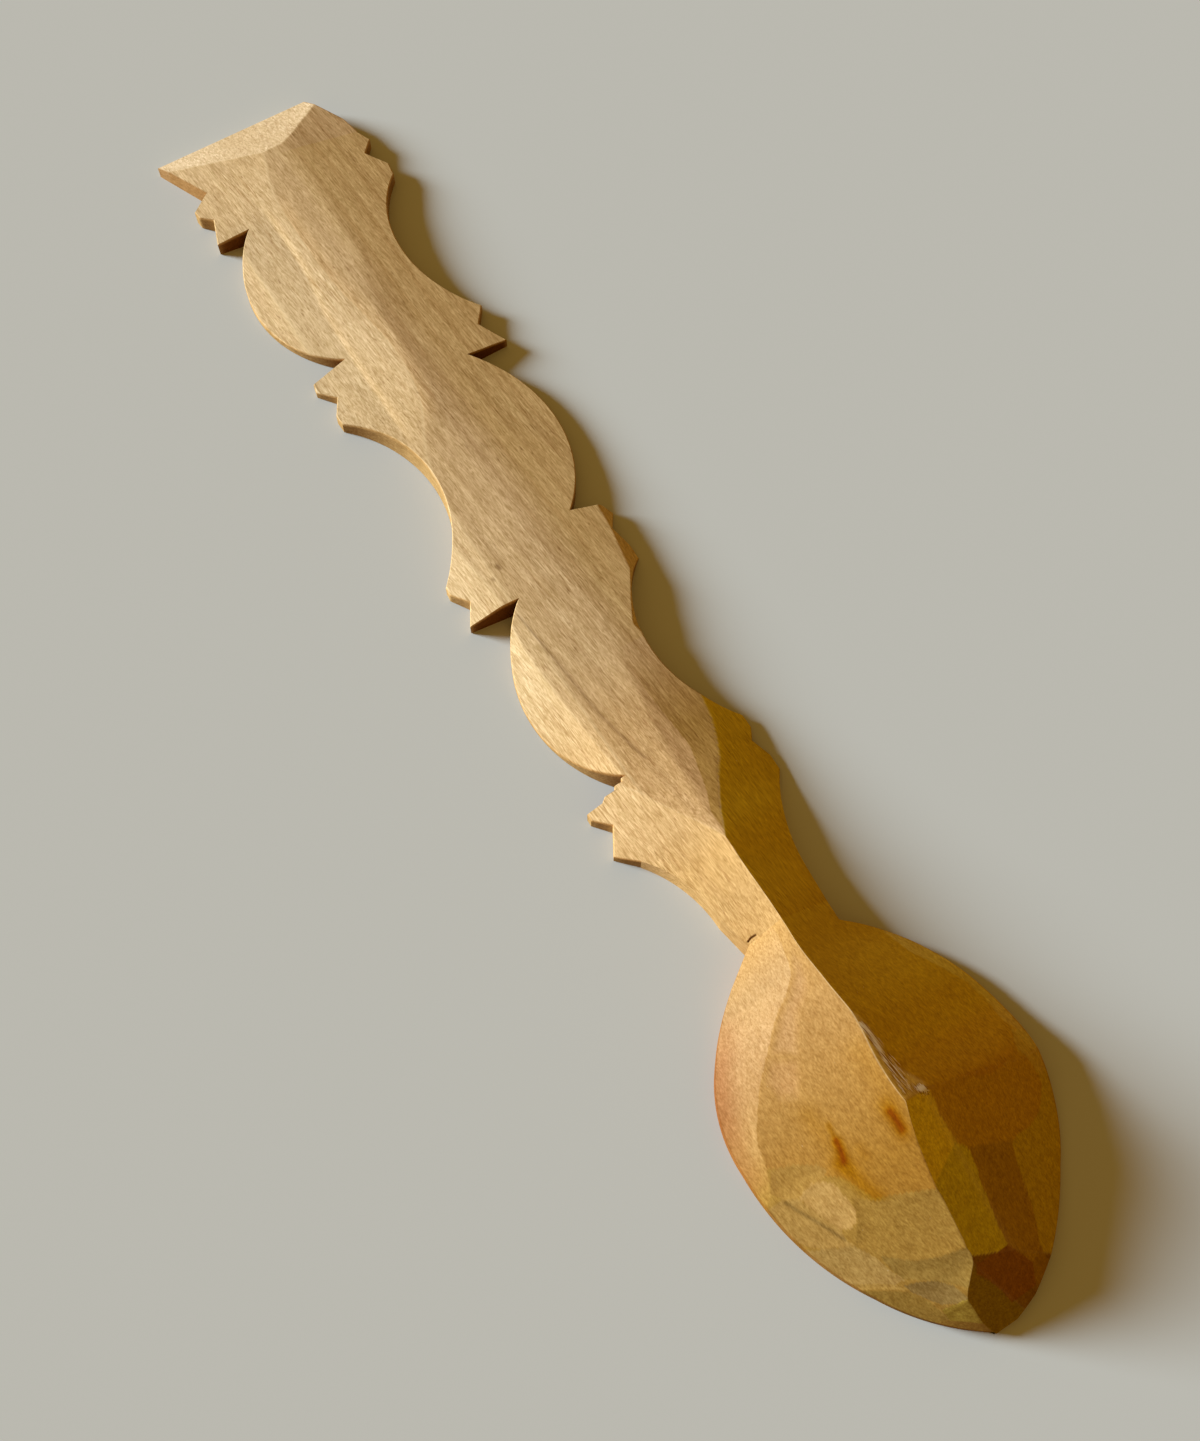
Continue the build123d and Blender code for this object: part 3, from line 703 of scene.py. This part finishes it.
lower_lobe_y, left_sprig_y = (corner.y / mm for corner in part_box("lower_left_lobe"))
upper_lobe_y, upper_leaf_y = (corner.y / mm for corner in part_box("upper_left_lobe"))
right_lobe_y, right_sprig_y = (corner.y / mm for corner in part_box("right_lobe"))
left_foot = (at_height(left_neck, neck_top)[0], neck_top)
right_foot = (at_height(right_neck, neck_top)[0], neck_top)

beside("upper_left_leaf", -1, trace(
    (-11.0, crest_foot), (-15.0, 115.2), (-14.8, 113.5), (-12.7, 111.2), (-14.6, 105.5),
    (-8.0, upper_leaf_y)))
beside("upper_left_lobe", -1, trace((-8.0, upper_leaf_y), (-15.4, 87.2, -6.2, upper_lobe_y)))
beside("left_sprig", -1, trace(
    (-6.2, upper_lobe_y), (-13.5, 66.5), (-13.9, 64.5), (-11.2, 61.0), (-13.3, 57.2), (-13.2, 54.9),
    (-4.9, 33.2, -13.6, 14.7), (-13.7, 13.2), (-11.5, 9.7), (-13.7, 5.8), (-4.5, left_sprig_y)))
beside("lower_left_lobe", -1, trace((-4.5, left_sprig_y), (-13.6, -14.8, -6.7, lower_lobe_y)))
beside("lower_left_leaf", -1, trace(
    (-6.7, lower_lobe_y), (-6.4, -33.0), (-7.2, -33.0), (-7.5, -33.8), (-8.7, -33.5), (-9.2, -34.2),
    (-10.8, -33.9), (-11.6, -34.5), (-14.4, -34.4), (-14.4, -35.6), (-12.0, -38.4), (-14.4, -42.6),
    left_foot))
beside("upper_right_sprig", 1, trace(
    (22.6, crest_foot), (23.9, 115.2), (21.1, 111.7), (24.1, 107.4), (23.6, 104.2), (15.6, 87.2, 22.5, 66.2),
    (19.6, 62.2), (22.5, 56.6), (14.1, right_sprig_y)))
beside("right_lobe", 1, trace((14.1, right_sprig_y), (21.4, 37.2, 12.7, right_lobe_y)))
beside("lower_right_sprig", 1, trace(
    (12.7, right_lobe_y), (18.8, 15.2), (20.0, 13.7), (17.5, 9.9), (19.0, 6.2), (19.0, 3.4),
    (10.3, -13.3, 17.5, -32.1), (17.5, -34.6), (16.1, -37.0), (17.5, -40.4), (17.5, -43.3), right_foot))

# The crest is the flared end of the handle, of the same board. A sloping cut across its back faces
# the top and leaves the end half as thick; its sides are cut square to the table.


def crest_back(x, y):
    """The handle's facets and the sloping cut at the end, which is a plane."""
    cuts = handle_faces(x, y)
    end_cut = tilted(x, y, (7.9, 120.5), band_height, 0.022, -0.26)
    z, arris, face = lowest(cuts + [end_cut], handle_wear)
    tone = np.where(face[..., None] == len(cuts), (1.09, 1.14, 1.28), (1.0, 1.0, 1.0))
    return z, arris, tone, np.zeros_like(z)


def spread(outline, count):
    """An outline with its points spread anew over a given count."""
    old = np.linspace(0, 1, len(outline))
    new = np.linspace(0, 1, count)
    return np.stack([np.interp(new, old, outline[:, i]) for i in (0, 1)], -1)


left_end = spread(trace((-11.0, crest_foot), (-16.3, 130.4)), 60)
right_end = spread(trace((22.6, crest_foot), (21.7, 122.5), (16.9, crest_end)), 60)
end_tone = (0.66, 0.50, 0.34)
solid("crest", *across(left_end, right_end, 120, crest_back, rim=end_tone))

# The table under the spoon is flat and painted in one plain pale colour, without gloss. It is wide
# enough to run out of view, and it takes the spoon's shadow.
pale_paint = (0.505, 0.492, 0.437, 1)
paint = bpy.data.materials.new("pale_table_paint")
paint.use_nodes = True
coat = paint.node_tree.nodes["Principled BSDF"]
coat.inputs["Base Color"].default_value = pale_paint
coat.inputs["Roughness"].default_value = 0.8
coat.inputs["Specular IOR Level"].default_value = 0.0
bpy.ops.mesh.primitive_plane_add(size=3)
table = bpy.context.object
table.name = "table"
table.data.materials.append(paint)

# Low soft daylight comes from the crest's left, and a weak warm light from all round the room. Where
# the room itself is seen, past the table, it has the colour of the table's paint.
azimuth = math.radians(136)
elevation = math.radians(16.5)
daylight = bpy.data.lights.new("daylight", "SUN")
daylight.angle = math.radians(19.2)
daylight.energy = 10.4
daylight.color = (0.68, 0.83, 1.0)
sun = bpy.data.objects.new("daylight", daylight)
sun.location = (math.cos(elevation) * math.cos(azimuth), math.cos(elevation) * math.sin(azimuth),
                math.sin(elevation))
sun.rotation_euler = sun.location.to_track_quat("Z", "Y").to_euler()
bpy.context.scene.collection.objects.link(sun)
room = bpy.data.worlds.new("room")
room.use_nodes = True
tree = room.node_tree
warm_light = tree.nodes["Background"]
warm_light.inputs["Color"].default_value = (1.0, 0.60, 0.14, 1)
warm_light.inputs["Strength"].default_value = 0.34
far_wall = node("Background", {"Color": pale_paint})
rays = node("LightPath", {}).outputs
seen = node("Math", {0: rays["Is Camera Ray"], 1: rays["Is Glossy Ray"]}, operation="ADD").outputs[0]
seen_too = node("Math", {0: seen, 1: rays["Is Transmission Ray"]}, operation="ADD").outputs[0]
view_of_room = node("MixShader", {0: seen_too, 1: warm_light.outputs[0], 2: far_wall.outputs[0]})
tree.links.new(view_of_room.outputs[0], tree.nodes["World Output"].inputs["Surface"])
bpy.context.scene.world = room

# The camera stands over the bowl's left, looking down along the handle. Its lens is short, so the
# bowl looks large and the crest small.
camera = bpy.data.cameras.new("camera")
camera.lens = 37.47
view = bpy.data.objects.new("camera", camera)
view.location = (-0.05874, -0.11147, 0.22947)
view.rotation_euler = (math.radians(25), 0, math.radians(-31.25))
bpy.context.scene.collection.objects.link(view)
bpy.context.scene.camera = view
bpy.context.scene.view_settings.view_transform = "Standard"
